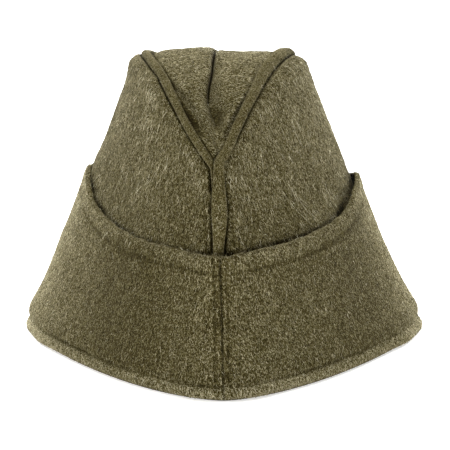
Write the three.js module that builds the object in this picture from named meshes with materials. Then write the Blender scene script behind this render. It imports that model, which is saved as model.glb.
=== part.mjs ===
// A wool garrison cap, opened as it is worn and standing on its lower edge.
// Two side panels rise from the open foot to two ridges. The front and back seams fork at
// the top, and a boat-shaped top panel with a folded-in crease lies between the ridges.
// A rolled welt covers each ridge: the right one runs on down the front seam, the left one
// down the back seam. A double-thickness curtain is turned up round the outside in two
// halves, joined at the front and the back.
// Millimetres, +Z up. The front end faces -Y, the wearer's length runs along Y.
// Origin: the middle of the oval that the lower edge stands on.

import * as THREE from "three";

// Foot of the crown, measured on the outside of its cloth
const footHalfWidth = 86.2;
const footHalfLength = 106.9;
const footPowerLeft = 1.62; // roundness of the foot's ends, 2 is an ellipse's
const footPowerRight = 1.5;
const footCornerPower = 1.2; // roundness of the foot's sides, 1 is a corner
const footCornerSoftness = 0.2; // rounds that corner off, a share of a quarter turn
const crownWall = 2.0; // thickness of the side panels' cloth
const mitreLimit = 2.2; // at the seams the inside is let in at most this many walls

// Forks and ridges
const forkHeight = 96.7; // where the front and back seams fork
const forkLean = 18; // how far a seam leans inwards up to its fork
const seamRounding = 0.07; // rounding of the cap's ends at the foot, a share of half length
const ridgeHeight = 128; // highest point of the ridges
const ridgePeak = -0.2; // where that point is, a share of the way from the middle to a fork
const frontRisePower = 2; // a higher power keeps the ridge level for longer
const backRisePower = 1.5;
const ridgeHalfWidthLeft = 31.5; // from the middle plane to a ridge, at mid length
const ridgeHalfWidthRight = 33.5;
const ridgePlanPower = 1.8; // bow of a ridge in plan
const crownLean = 3.4; // the soft crown settles this far to its left at the ridges
const leanPower = 0.8; // below 1 it leans more near the foot
const ridgeSway = 1.4; // between fork and middle the ridges sway sideways this far

// Shoulders, where a side panel turns in to its ridge
const shoulderBulge = 5.8; // how far a side stands out beside its ridge
const shoulderRisePower = 1.5; // how late the bulge grows on the way up
const shoulderTurnPower = 120; // how sharply the side turns in to the ridge

// Top panel
const topWall = 2.0; // thickness of the top panel's cloth
const topSink = 0.4; // its edges lie this far under the ridge line
const topTipHalfWidth = 0.9; // its ends are this wide, just past the forks
const slantedWall = 1.15; // a side panel's wall measured straight across there, in walls
const creaseDepth = 6.5; // depth of the folded-in crease
const creaseLip = 3.5; // width of the rolled lip on the left of the crease
const creaseFlank = 7; // width of the slope on its right
const creaseStart = 0.22; // where the crease opens, a share of the way from fork to middle
const creaseGrowth = 0.3; // and the share over which it reaches its depth
const creaseShiftFront = -0.08; // where the crease runs, a share of the top's half width
const creaseShiftBack = 0.08;
const creaseShiftEnd = 0.6; // how far back it reaches the second shift, 1 is the back fork
const leftPillow = 4.2; // the left half stands up this far
const rightPillow = 2.8; // the right half stands up this far
const pillowPower = 3; // how flat the halves are across their middle, 2 is a round arch
const valleyDepth = 3.2; // hollow between the ridges just above each fork
const valleyEnd = 0.5; // where it ends, a share of the way from fork to middle

// Welts along the ridges and seams
const weltWidth = 4.3;
const weltThickness = 2.5;
const crestWeltWidth = 6.4; // a welt is larger over the half of the ridge beside its own seam
const crestWeltThickness = 3.8;
const seamWeltWidth = 6.2; // and on its seam
const weltEndWidth = 4.6; // where it goes under the curtain
const weltEndThickness = 1.2;
const weltTipWidth = 2.2; // where it ends beside the other welt
const weltTipThickness = 1.6;
const weltTaper = 18; // height over which it thins out towards the curtain
const weltTuck = 4; // length hidden under the curtain's edge
const weltUprightShare = 0.97; // on a seam it faces as the seam does at most this far up
const crestGrowth = 0.3; // share of the way along a ridge over which a welt grows
const crestEnd = 0.5; // where it starts to thin again
const crestFade = 0.2; // and the share over which it does
const weltTipShare = 0.06; // its end tapers over this share

// Curtain, a doubled cloth turned up round the crown
const curtainHeight = 59.6; // at the front and back seams
const curtainRiseLeft = 17; // it stands this much higher at mid length
const curtainRiseRight = 13.5;
const curtainRisePower = 8; // a higher power keeps its top edge level for longer
const curtainWall = 2.7;
const curtainGapLeft = 1.0; // it stands off the crown this far at its top edge, on the sides
const curtainGapRight = 2.0;
const curtainGapSeam = 2.6; // and this far over the welts
const curtainGapPower = 1.5; // how late it opens on the way up
const overWeltShare = 0.2; // share of the way to mid length over which it clears the welts
const curtainEdgeRound = 0.8; // rounding of its outer edges
const hemHeight = 6.8; // stitched hem along the lower edge
const hemBulge = 0.4; // the hem stands out this far
const hemGroove = 0.5; // the stitch row pulls the cloth in this far
const turnHeight = 11; // the turned-up cloth bulges out most at this height
const turnBulge = 2.6; // and this far

// Clearance kept between pieces that are sewn together
const clearance = 0.3;

// Mesh fineness
const lengthSteps = 36;
const topSteps = 32;
const weltSteps = 44;
const seamWeltSteps = 10;
const weltSides = 8;

const woolColour = 0x6b6546;
const forkHalfLength = footHalfLength - forkLean;
const quarterTurn = Math.PI / 2;

const mix = THREE.MathUtils.lerp;
const clamp = THREE.MathUtils.clamp;
const smooth = (x) => THREE.MathUtils.smoothstep(x, 0, 1);
const steps = (count) => Array.from({ length: count + 1 }, (_, i) => i / count);

// Along the cap: u runs from 0 at the front seam to 1 at the back seam.
// fromSeam is 0 at either seam and 1 at mid length.
const fromSeam = (u) => 1 - Math.abs(2 * u - 1);
const atSeam = (u) => u === 0 || u === 1;

// A rounded corner at 0: quadratic for small x, then nearly straight, and 1 at 1.
function softened(x, rounding) {
  return (Math.hypot(x, rounding) - rounding) / (Math.hypot(1, rounding) - rounding);
}

// Height of a ridge: k runs from -1 at the front fork to 1 at the back fork.
function ridgeRise(k) {
  if (k < ridgePeak) {
    const t = (ridgePeak - k) / (ridgePeak + 1);
    return mix(ridgeHeight, forkHeight, t ** frontRisePower);
  }
  const t = (k - ridgePeak) / (1 - ridgePeak);
  return mix(ridgeHeight, forkHeight, t ** backRisePower);
}

// One half of the cap, worked out as the right-hand one.
class Half {
  constructor({ footPower, ridgeHalfWidth, curtainRise, curtainGap }) {
    this.footPower = footPower;
    this.ridgeHalfWidth = ridgeHalfWidth;
    this.curtainRise = curtainRise;
    this.curtainGap = curtainGap;
  }

  // Foot of the side, a superellipse standing on z = 0 with a softened side corner.
  foot(u) {
    const angle = (u - 0.5) * Math.PI;
    const sine = Math.abs(Math.sin(angle));
    const spread = Math.hypot(sine, footCornerSoftness) / Math.hypot(1, footCornerSoftness);
    const along = sine * spread ** (2 / footCornerPower - 1);
    return new THREE.Vector3(
      footHalfWidth * Math.abs(Math.cos(angle)) ** (2 / this.footPower),
      footHalfLength * Math.sign(angle) * along,
      0,
    );
  }

  // The ridge, from fork to fork. Rounding above 0 turns its sharp fork into a soft nose.
  ridge(u, rounding = 0) {
    const away = fromSeam(u);
    const k = Math.sign(u - 0.5) * (1 - softened(away, rounding));
    return new THREE.Vector3(
      this.ridgeHalfWidth * (1 - (1 - away) ** ridgePlanPower),
      k * forkHalfLength,
      ridgeRise(k),
    );
  }

  // Outside of the side panel: s runs from 0 at the foot to 1 at the ridge.
  crown(u, s) {
    const p = this.foot(u).lerp(this.ridge(u, seamRounding * (1 - s)), s);
    const bulge = shoulderBulge * s ** shoulderRisePower * (1 - s ** shoulderTurnPower);
    p.x += bulge * Math.sin(quarterTurn * fromSeam(u));
    return p;
  }

  // Outward normal of the side panel.
  normal(u, s) {
    const step = 1e-3;
    const [u0, u1] = [Math.max(u - step, 0), Math.min(u + step, 1)];
    const [s0, s1] = [Math.max(s - step, 0), Math.min(s + step, 1)];
    const along = this.crown(u1, s).sub(this.crown(u0, s));
    const up = this.crown(u, s1).sub(this.crown(u, s0));
    return along.cross(up).normalize();
  }

  // An offset square to the side panel. The halves meet in the middle plane, where it
  // runs in that plane and is lengthened as a mitre.
  offset(u, s, distance) {
    const n = this.normal(u, s);
    if (!atSeam(u)) return n.multiplyScalar(distance);
    n.x = 0;
    const mitre = Math.min(1 / n.length(), mitreLimit);
    return n.normalize().multiplyScalar(distance * mitre);
  }

  // The same offset laid level.
  levelOffset(u, s, distance) {
    const n = this.normal(u, s);
    if (atSeam(u)) n.x = 0;
    n.z = 0;
    return n.multiplyScalar(distance / n.lengthSq());
  }

  // The point of the side panel at a height, moved out level.
  atHeight(u, z, away) {
    const s = z / this.ridge(u, seamRounding * (1 - z / ridgeHeight)).z;
    const p = this.crown(u, s).add(this.levelOffset(u, s, away));
    p.z = z;
    return besideSeam(p, u);
  }

  curtainTop(u) {
    const rise = Math.sin(quarterTurn * fromSeam(u)) ** curtainRisePower;
    return curtainHeight + this.curtainRise * rise;
  }
}

// Keeps a point on its own side of the middle plane, at the clearance from it.
function besideSeam(point, u) {
  const least = clearance / 2;
  point.x = atSeam(u) ? least : Math.max(point.x, least);
  return point;
}

// Points and triangles as a geometry whose faces point out.
function bodyOf(points, index) {
  let volume = 0;
  for (let i = 0; i < index.length; i += 3) {
    const [a, b, c] = [0, 1, 2].map((k) => points[index[i + k]]);
    volume += a.dot(new THREE.Vector3().crossVectors(b, c));
  }
  if (volume < 0) index.reverse();
  const geometry = new THREE.BufferGeometry();
  geometry.setFromPoints(points);
  geometry.setIndex(index);
  return geometry;
}

// A closed wall between two grids of points, outer[i][j] and inner[i][j].
function wallGeometry(outer, inner) {
  const columns = outer.length;
  const rows = outer[0].length;
  const index = [];
  const quad = (a, b, c, d) => index.push(a, b, c, a, c, d);
  const out = (i, j) => i * rows + j;
  const inn = (i, j) => (columns + i) * rows + j;
  const top = rows - 1;
  const end = columns - 1;
  for (let i = 0; i < end; i++) {
    for (let j = 0; j < top; j++) {
      quad(out(i, j), out(i + 1, j), out(i + 1, j + 1), out(i, j + 1));
      quad(inn(i, j), inn(i, j + 1), inn(i + 1, j + 1), inn(i + 1, j));
    }
    quad(out(i, 0), inn(i, 0), inn(i + 1, 0), out(i + 1, 0));
    quad(out(i, top), out(i + 1, top), inn(i + 1, top), inn(i, top));
  }
  for (let j = 0; j < top; j++) {
    quad(out(0, j), out(0, j + 1), inn(0, j + 1), inn(0, j));
    quad(out(end, j), inn(end, j), inn(end, j + 1), out(end, j + 1));
  }
  return bodyOf([...outer.flat(), ...inner.flat()], index);
}

// Side panel: rows as shares of the way up, closer together where the shoulder turns in.
const panelRows = [0, 0.16, 0.33, 0.5, 0.65, 0.78, 0.88, 0.94, 0.968, 0.985, 0.995, 1];

function sidePanel(half) {
  const outer = [];
  const inner = [];
  for (const u of steps(lengthSteps)) {
    outer.push(panelRows.map((s) => besideSeam(half.crown(u, s), u)));
    inner.push(
      panelRows.map((s) => {
        const inwards =
          s === 0 ? half.levelOffset(u, s, -crownWall) : half.offset(u, s, -crownWall);
        return besideSeam(half.crown(u, s).add(inwards), u);
      }),
    );
  }
  return wallGeometry(outer, inner);
}

// Rows of the curtain up to a height, with how far its face differs from a plain wall's.
function curtainRows(height) {
  const shares = [0, 0.2, 0.45, 0.72, 1];
  const wallTop = height - curtainEdgeRound * 2;
  return [
    { z: 0, bulge: -curtainEdgeRound },
    { z: hemHeight * 0.3, bulge: hemBulge * 0.8 },
    { z: hemHeight * 0.75, bulge: hemBulge },
    { z: hemHeight, bulge: -hemGroove },
    ...shares.map((share) => ({ z: mix(turnHeight, wallTop, share), bulge: 0 })),
    { z: height, bulge: -curtainEdgeRound },
  ];
}

// How far the curtain's inside stands off the crown: it bulges where it is turned up, and
// opens towards its top edge.
function curtainStandOff(half, u, z) {
  const share = z / half.curtainTop(u);
  const overWelt = 1 - smooth(fromSeam(u) / overWeltShare);
  const top = mix(half.curtainGap, curtainGapSeam, overWelt);
  const turn = (z / turnHeight) * Math.exp(1 - z / turnHeight);
  return mix(clearance, top, share ** curtainGapPower) + turnBulge * turn;
}

function curtainHalf(half) {
  const outer = [];
  const inner = [];
  for (const u of steps(lengthSteps)) {
    const rows = curtainRows(half.curtainTop(u));
    const place = (z, thickness) =>
      half.atHeight(u, z, curtainStandOff(half, u, z) + thickness);
    inner.push(rows.map(({ z }) => place(z, 0)));
    outer.push(rows.map(({ z, bulge }) => place(z, curtainWall + bulge)));
  }
  return wallGeometry(outer, inner);
}

// Share of the way along at which a ridge is this far from the middle plane.
function whereHalfWidthIs(width, half) {
  return (1 - (1 - width / half.ridgeHalfWidth) ** (1 / ridgePlanPower)) / 2;
}

// The top panel's edge keeps clear of the side panel's wall.
function topEdge(half, u) {
  const n = half.normal(u, 1);
  const across = (n.x * n.x + n.y * n.y) / Math.abs(n.x);
  return half.ridge(u).x - crownWall * across - clearance;
}

// Columns of the top panel, as shares of the way from the crease to an edge.
const leftColumns = [1, 0.74, 0.48, 0.3, 0.18, 0.08];
const rightColumns = [0, 0.1, 0.24, 0.42, 0.68, 1];

function topPoint(halves, tip, u, reach) {
  const half = reach < 0 ? halves.left : halves.right;
  const ridge = half.ridge(u);
  const room = topEdge(half, u) / topEdge(half, 0.5);
  const crease =
    topEdge(half, u) * mix(creaseShiftFront, creaseShiftBack, smooth(u / creaseShiftEnd));
  const x = mix(crease, Math.sign(reach) * topEdge(half, u), Math.abs(reach));
  const opened = smooth((fromSeam(u) - creaseStart) / creaseGrowth);
  const slope = Math.max(reach < 0 ? creaseLip : creaseFlank * room, creaseLip * room);
  const dip = creaseDepth * opened * (1 - smooth(Math.abs(x - crease) / slope));
  const pillow = reach < 0 ? leftPillow : rightPillow;
  const rise = pillow * room * Math.sqrt(1 - Math.abs(reach) ** pillowPower);
  const beyondTip = (fromSeam(u) - 2 * tip) / (valleyEnd - 2 * tip);
  const hollow = valleyDepth * Math.sin(Math.PI * clamp(beyondTip, 0, 1));
  const z = ridge.z - topSink + rise - dip - hollow * (1 - reach * reach);
  return new THREE.Vector3(x, ridge.y, z);
}

// Direction square to a row of the top panel and to the ridge line.
function topNormal(half, u, across) {
  const step = 1e-2;
  const along = half.ridge(u + step).sub(half.ridge(u - step));
  along.x = 0;
  return across.clone().cross(along).normalize();
}

function topPanel(halves) {
  const beforeTip = clearance + crownWall * slantedWall;
  const tip = whereHalfWidthIs(beforeTip + topTipHalfWidth, halves.left);
  const reaches = [...leftColumns.map((r) => -r), ...rightColumns];
  const outer = [];
  const inner = [];
  for (const share of steps(topSteps)) {
    const u = mix(tip, 1 - tip, share);
    const row = reaches.map((reach) => topPoint(halves, tip, u, reach));
    const last = row.length - 1;
    outer.push(row);
    inner.push(
      row.map((p, j) => {
        const across = row[Math.min(j + 1, last)].clone().sub(row[Math.max(j - 1, 0)]);
        const n = topNormal(halves.left, u, across);
        if (j === 0 || j === last) n.x = 0;
        return p.clone().addScaledVector(n, -topWall);
      }),
    );
  }
  return wallGeometry(outer, inner);
}

// A side panel faces outwards here, just under its ridge.
const shoulderShare = 0.99;

// Outward direction of a welt on its ridge: between the side panel's and the top's.
function ridgeOutward(half, u) {
  const step = 1e-2;
  const ahead = half.ridge(Math.min(u + step, 1));
  const along = ahead.sub(half.ridge(Math.max(u - step, 0)));
  along.x = 0;
  const top = new THREE.Vector3(1, 0, 0).cross(along).normalize();
  return half.normal(u, shoulderShare).add(top).normalize();
}

// Stations of a welt, up its seam from under the curtain and on along its ridge. A welt
// that begins at the back runs the other way along the same half.
function weltStations(half, beginsAtBack) {
  const place = (share) => (beginsAtBack ? 1 - share : share);
  const seam = place(0);
  const lowest = curtainHeight - weltTuck;
  const stations = [];
  for (const k of steps(seamWeltSteps)) {
    const z = mix(lowest, forkHeight, k);
    const grown = smooth((z - lowest) / weltTaper);
    const nearFork = smooth((z - (forkHeight - weltTaper)) / weltTaper);
    const s = z / forkHeight;
    stations.push({
      at: half.crown(seam, s),
      out: half.offset(seam, Math.min(s, weltUprightShare), 1).normalize(),
      width: mix(mix(weltEndWidth, seamWeltWidth, grown), weltWidth, nearFork),
      thickness: mix(weltEndThickness, weltThickness, grown),
    });
  }
  const fork = stations.at(-1);
  fork.out.add(ridgeOutward(half, seam).setX(0).normalize()).normalize();
  const start = whereHalfWidthIs(weltWidth / 2, half);
  const finish = 1 - whereHalfWidthIs((weltWidth + weltTipWidth) / 2 + clearance, half);
  for (const k of steps(weltSteps)) {
    const share = mix(start, finish, k);
    const u = place(share);
    const crest = smooth(share / crestGrowth) * (1 - smooth((share - crestEnd) / crestFade));
    const ended = smooth((share - finish) / weltTipShare + 1);
    stations.push({
      at: half.ridge(u),
      out: ridgeOutward(half, u),
      width: mix(mix(weltWidth, crestWeltWidth, crest), weltTipWidth, ended),
      thickness: mix(mix(weltThickness, crestWeltThickness, crest), weltTipThickness, ended),
    });
  }
  return stations;
}

function welt(half, beginsAtBack) {
  const stations = weltStations(half, beginsAtBack);
  const centres = stations.map(({ at, out, thickness }) =>
    at.clone().addScaledVector(out, thickness / 2 + clearance),
  );
  const last = stations.length - 1;
  const points = [];
  const index = [];
  stations.forEach((station, i) => {
    const along = centres[Math.min(i + 1, last)].clone().sub(centres[Math.max(i - 1, 0)]);
    const across = along.clone().cross(station.out).normalize();
    const out = across.clone().cross(along).normalize();
    for (let k = 0; k < weltSides; k++) {
      const angle = (2 * Math.PI * (k + 0.5)) / weltSides;
      points.push(
        centres[i]
          .clone()
          .addScaledVector(across, (Math.cos(angle) * station.width) / 2)
          .addScaledVector(out, (Math.sin(angle) * station.thickness) / 2),
      );
    }
  });
  const ring = (i, k) => i * weltSides + (k % weltSides);
  for (let i = 0; i < last; i++) {
    for (let k = 0; k < weltSides; k++) {
      index.push(ring(i, k), ring(i, k + 1), ring(i + 1, k + 1));
      index.push(ring(i, k), ring(i + 1, k + 1), ring(i + 1, k));
    }
  }
  for (let k = 1; k + 1 < weltSides; k++) {
    index.push(ring(0, 0), ring(0, k + 1), ring(0, k));
    index.push(ring(last, 0), ring(last, k), ring(last, k + 1));
  }
  return bodyOf(points, index);
}

// A piece of the right-hand half, turned over to the left.
function turnedOver(geometry) {
  geometry.scale(-1, 1, 1);
  geometry.setIndex([...geometry.index.array].reverse());
  return geometry;
}

// The soft cap leans to its left, and its ridges sway: to the left in front, to the right
// behind. Every point moves sideways by its height and its place along the cap.
function settled(geometry) {
  const position = geometry.getAttribute("position");
  for (let i = 0; i < position.count; i++) {
    const height = clamp(position.getZ(i) / ridgeHeight, 0, 1);
    const along = clamp(position.getY(i) / forkHalfLength, -1, 1);
    const lean = crownLean * height ** leanPower;
    const sway = ridgeSway * height ** 3 * Math.sin(Math.PI * along);
    position.setX(i, position.getX(i) - lean + sway);
  }
  geometry.computeVertexNormals();
  return geometry;
}

function piece(name, geometry) {
  const wool = new THREE.MeshStandardMaterial({
    color: woolColour,
    roughness: 0.95,
    metalness: 0,
  });
  const mesh = new THREE.Mesh(settled(geometry), wool);
  mesh.name = name;
  return mesh;
}

const left = new Half({
  footPower: footPowerLeft,
  ridgeHalfWidth: ridgeHalfWidthLeft,
  curtainRise: curtainRiseLeft,
  curtainGap: curtainGapLeft,
});
const right = new Half({
  footPower: footPowerRight,
  ridgeHalfWidth: ridgeHalfWidthRight,
  curtainRise: curtainRiseRight,
  curtainGap: curtainGapRight,
});

const cap = new THREE.Group();
cap.add(
  piece("crown_side_left", turnedOver(sidePanel(left))),
  piece("crown_side_right", sidePanel(right)),
  piece("crown_top", topPanel({ left, right })),
  piece("curtain_left", turnedOver(curtainHalf(left))),
  piece("curtain_right", curtainHalf(right)),
  piece("welt_left", turnedOver(welt(left, true))),
  piece("welt_right", welt(right, false)),
);

export default cap;
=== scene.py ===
import math

import bpy
import numpy as np
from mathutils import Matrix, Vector

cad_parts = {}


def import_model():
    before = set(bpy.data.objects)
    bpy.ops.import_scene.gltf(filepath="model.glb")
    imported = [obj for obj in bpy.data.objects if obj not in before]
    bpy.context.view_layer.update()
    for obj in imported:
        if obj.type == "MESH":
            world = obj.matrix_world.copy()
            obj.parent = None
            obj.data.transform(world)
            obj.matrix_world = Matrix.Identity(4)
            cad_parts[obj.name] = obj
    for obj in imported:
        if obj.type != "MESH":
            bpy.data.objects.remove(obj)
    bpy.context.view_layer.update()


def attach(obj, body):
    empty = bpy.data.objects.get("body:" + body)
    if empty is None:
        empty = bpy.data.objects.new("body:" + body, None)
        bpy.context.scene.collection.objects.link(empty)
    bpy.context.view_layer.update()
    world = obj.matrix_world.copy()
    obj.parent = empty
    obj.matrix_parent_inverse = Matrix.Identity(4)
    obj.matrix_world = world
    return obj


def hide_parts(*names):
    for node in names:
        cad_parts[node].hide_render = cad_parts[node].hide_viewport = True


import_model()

# A wool garrison cap, opened as worn and standing on its lower edge. Shapes are worked out in
# millimetres from the same sizes as the solids, and become metres when a mesh is made.
mm = 0.001
quarterTurn = math.pi / 2

crown = {
    "footHalfWidth": 86.2, "footHalfLength": 106.9,
    "footCornerPower": 1.2, "footCornerSoftness": 0.2,
    "wall": 2.0,
    "mitreLimit": 2.2,
    "forkHeight": 96.7, "forkLean": 18.0,
    "seamRounding": 0.07,
    "ridgeHeight": 128.0, "ridgePeak": -0.2, "ridgePlanPower": 1.8,
    "frontRisePower": 2.0, "backRisePower": 1.5,
    "lean": 3.4, "leanPower": 0.8, "sway": 1.4,
    "shoulderBulge": 5.8, "shoulderRisePower": 1.5, "shoulderTurnPower": 120.0,
    "spacing": {"fineReach": 8.0, "finePitch": 0.42, "pitch": 1.45},   # finer near its seams
    "evenAt": 0.75,        # the columns are even at this share of the height
    "seenHeight": 80.0,    # from the ridge down
    "hiddenRows": 9, "innerRows": 16,
    # the cloth is pulled in beside the welts, and swells next to that
    "groove": {"depth": 1.9, "floor": 0.45, "width": 0.5, "inside": 2.0},
    "seamFloor": {"left": 0.85, "right": 1.1},
    "seamStrip": {"halfWidth": 6.0, "fade": 2.0, "forkFade": 5.0},
    "puff": {"by": 0.7, "at": 5.0, "reach": 3.6},
    "shoulderReach": 6.0,  # its upper edge stands up beside the welts
    # it swells against the curtain's top edge, but not at the sides
    "bearing": {"share": 0.8, "at": 1.0, "reach": 7.0, "fromWelt": 8.0, "upTo": 0.5, "fade": 0.3},
    # painted shade in the gap behind the curtain's edge, uneven, and a little over the crown's
    # lowest part
    "gapShade": {"middle": 0.4, "spread": 0.8, "size": 9.0, "height": 1.5, "fade": 2.5},
    "footShade": {"by": 0.07, "height": 30.0},
    "waves": ((36.0, 0.8), (15.0, 0.35), (5.5, 0.12)),   # size of a wave and its height
    "waveFade": 8.0,       # they end this far behind the curtain
    "napFrom": -1.2, "napRoom": 3.0,
}
# a band of painted shade across each side of the curtain, and a little painted light on the left
# one
halves = {
    "left": {
        "mirror": -1, "seed": 3,
        "footPower": 1.62, "ridgeHalfWidth": 31.5, "shoulderLift": 2.8, "crownSwell": 0.5,
        "curtainRise": 17.0, "curtainGap": 1.0, "curtainSlack": 0.0,
        "paintedShadeCurtain": 0.14, "paintedShadeCurtainAt": 0.4, "paintedLightCurtain": 0.03,
    },
    "right": {
        "mirror": 1, "seed": 8,
        "footPower": 1.5, "ridgeHalfWidth": 33.5, "shoulderLift": 2.0, "crownSwell": 0.0,
        "curtainRise": 13.5, "curtainGap": 2.0, "curtainSlack": 0.8,
        "paintedShadeCurtain": 0.13, "paintedShadeCurtainAt": 0.6, "paintedLightCurtain": 0.0,
    },
}
forkHalfLength = crown["footHalfLength"] - crown["forkLean"]


def mix(a, b, t):
    return a + (b - a) * t


def smooth(x):
    x = np.clip(x, 0, 1)
    return x * x * (3 - 2 * x)


def bell(x, width):
    return np.exp(-(x / width) ** 2)


# 1 where a form has its middle, and 0 beyond its reach.
def near(x, form):
    return bell(x - form["at"], form["reach"])


# 1 up to a place and 0 from a little after it.
def before(x, place, fade):
    return 1 - smooth((x - place) / fade)


def unit(v):
    return v / np.maximum(np.linalg.norm(v, axis=-1, keepdims=True), 1e-12)


def points(x, y, z):
    return np.stack(np.broadcast_arrays(x, y, z), -1).astype(float)


# Along the cap: u runs from 0 at the front seam to 1 at the back seam.
def fromSeam(u):
    return 1 - np.abs(2 * u - 1)


def softened(x, rounding):
    return (np.hypot(x, rounding) - rounding) / (np.hypot(1, rounding) - rounding)


# Smooth random heights from -1 to 1. The primes scramble a place on a lattice into its height.
def softNoise(places, spacing, seed):
    q = places / spacing + seed * 13.71
    cell = np.floor(q).astype(np.int64)
    f = q - cell
    f = f * f * f * (f * (f * 6 - 15) + 10)
    total = np.zeros(q.shape[:-1])
    for corner in np.ndindex(2, 2, 2):
        mixed, weight = 0, 1
        for axis, prime in enumerate((73856093, 19349663, 83492791)):
            mixed = mixed ^ ((cell[..., axis] + corner[axis]) * prime)
            weight = weight * (f[..., axis] if corner[axis] else 1 - f[..., axis])
        mixed = ((mixed ^ (mixed >> 13)) * 1274126177) & 0xFFFFFF
        total += weight * (mixed / 0x7FFFFF - 1)
    return total


def waves(places, sizes, seed):
    return sum(height * softNoise(places, spacing, seed) for spacing, height in sizes)


def foot(half, u):
    angle = (u - 0.5) * math.pi
    sine = np.abs(np.sin(angle))
    softness = crown["footCornerSoftness"]
    spread = np.hypot(sine, softness) / math.hypot(1, softness)
    along = sine * spread ** (2 / crown["footCornerPower"] - 1)
    across = np.abs(np.cos(angle)) ** (2 / half["footPower"])
    return points(
        crown["footHalfWidth"] * across, crown["footHalfLength"] * np.sign(angle) * along, 0 * u
    )


# k runs from -1 at the front fork to 1 at the back fork.
def ridgeRise(k):
    peak = crown["ridgePeak"]
    front = np.clip((peak - k) / (peak + 1), 0, 1) ** crown["frontRisePower"]
    back = np.clip((k - peak) / (1 - peak), 0, 1) ** crown["backRisePower"]
    return mix(crown["ridgeHeight"], crown["forkHeight"], front + back)


def ridge(half, u, rounding=0.0):
    away = fromSeam(u)
    k = np.sign(u - 0.5) * (1 - softened(away, rounding))
    bow = 1 - (1 - away) ** crown["ridgePlanPower"]
    return points(half["ridgeHalfWidth"] * bow, k * forkHalfLength, ridgeRise(k))


# Outside of the side panel: s runs from 0 at the foot to 1 at the ridge.
def crownPoint(half, u, s):
    u, s = np.broadcast_arrays(u, s)
    p = mix(foot(half, u), ridge(half, u, crown["seamRounding"] * (1 - s)), s[..., None])
    turn = s ** crown["shoulderRisePower"] * (1 - s ** crown["shoulderTurnPower"])
    p[..., 0] += crown["shoulderBulge"] * turn * np.sin(quarterTurn * fromSeam(u))
    return p


def crownNormal(half, u, s):
    step = 1e-3
    u, s = np.broadcast_arrays(u, s)
    ahead, behind = np.minimum(u + step, 1), np.maximum(u - step, 0)
    above, below = np.minimum(s + step, 1), np.maximum(s - step, 0)
    along = crownPoint(half, ahead, s) - crownPoint(half, behind, s)
    up = crownPoint(half, u, above) - crownPoint(half, u, below)
    n = unit(np.cross(along, up))
    n[(u <= 0) | (u >= 1), 0] = 0
    return n


# Square to the side panel, lengthened as a mitre in the middle plane.
def crownOffset(half, u, s, distance):
    n = crownNormal(half, u, s)
    length = np.linalg.norm(n, axis=-1, keepdims=True)
    mitre = np.minimum(1 / length, crown["mitreLimit"])
    return n / length * mitre * np.asarray(distance)[..., None]


# The point of the side panel at a height, moved out level.
def atHeight(half, u, z, away):
    u, z, away = np.broadcast_arrays(u, z, away)
    rounding = crown["seamRounding"] * (1 - z / crown["ridgeHeight"])
    s = z / ridge(half, u, rounding)[..., 2]
    p = crownPoint(half, u, s)
    n = crownNormal(half, u, s)
    n[..., 2] = 0
    p = p + n * (away / (n * n).sum(-1))[..., None]
    p[..., 2] = z
    p[..., 0] = np.where((u <= 0) | (u >= 1), 0, np.maximum(p[..., 0], 0))
    return p


# Turns a half over to its side, and lets the soft cap lean and its ridges sway.
def settled(half, p):
    p = p.copy()
    p[..., 0] *= half["mirror"]
    height = np.clip(p[..., 2] / crown["ridgeHeight"], 0, 1)
    along = np.clip(p[..., 1] / forkHalfLength, -1, 1)
    lean = crown["lean"] * height ** crown["leanPower"]
    sway = crown["sway"] * height**3 * np.sin(math.pi * along)
    p[..., 0] += sway - lean
    return p


def lengthsAlong(line):
    step = np.linalg.norm(np.diff(line, axis=0), axis=-1)
    return np.concatenate([[0], np.cumsum(step)])


# What a line passes at some lengths, where its own points lie at the given ones.
def placesAlong(at, length, line):
    return np.stack([np.interp(at, length, column) for column in line.T], -1)


# Places along a length, close together near both ends.
def spaced(length, fineReach, finePitch, pitch):
    fine = np.arange(0, fineReach, finePitch)
    middle = np.linspace(fineReach, length - fineReach, int(length / pitch))
    return np.concatenate([fine, middle, length - fine[::-1]])


def columnsAt(half, height):
    u = np.linspace(0, 1, 2000)
    length = lengthsAlong(crownPoint(half, u, height + 0 * u))
    return np.interp(spaced(length[-1], **crown["spacing"]), length, u)[:, None]


# A piece from corners in mm and faces, with values for its corners that its material reads.
def newPiece(name, corners, faces, **values):
    mesh = bpy.data.meshes.new(name)
    mesh.from_pydata((corners.reshape(-1, 3) * mm).tolist(), [], faces)
    mesh.shade_smooth()
    for key, numbers in values.items():
        attribute = mesh.attributes.new(key, "FLOAT", "POINT")
        attribute.data.foreach_set("value", numbers.ravel())
    return bpy.data.objects.new(name, mesh)


# Faces of a tube with closed ends.
def tubeFaces(stations, around):
    i = np.arange(stations - 1)[:, None] * around
    j = np.arange(around)[None, :]
    after = (j + 1) % around
    quads = np.stack([i + j, i + around + j, i + around + after, i + after], -1)
    first = list(range(around))
    last = [(stations - 1) * around + k for k in reversed(first)]
    return quads.reshape(-1, 4).tolist() + [first, last]


# A piece from stations of closed rings, with a value for each point: the shade painted on it, up to
# 1, most in grooves and gaps. Below 0 light is painted on it instead: it is drawn paler, with
# longer tufts.
def ringPiece(name, rings, hollow):
    faces = tubeFaces(*rings.shape[:2])
    a, b, c, d = rings.reshape(-1, 3)[np.array(faces[:-2]).T]
    if (a * np.cross(b, c)).sum() + (a * np.cross(c, d)).sum() < 0:
        faces = [face[::-1] for face in faces]
    return newPiece(name, rings, faces, hollow=np.clip(hollow, -1, 1))


def place(piece, material, node=None):
    bpy.context.scene.collection.objects.link(piece)
    piece.data.materials.append(material)
    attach(piece, "root")
    if node:
        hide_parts(node)


def linear(hexColour):
    parts = [int(hexColour[k : k + 2], 16) / 255 for k in (1, 3, 5)]
    return (*[c / 12.92 if c <= 0.04045 else ((c + 0.055) / 1.055) ** 2.4 for c in parts], 1)


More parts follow.
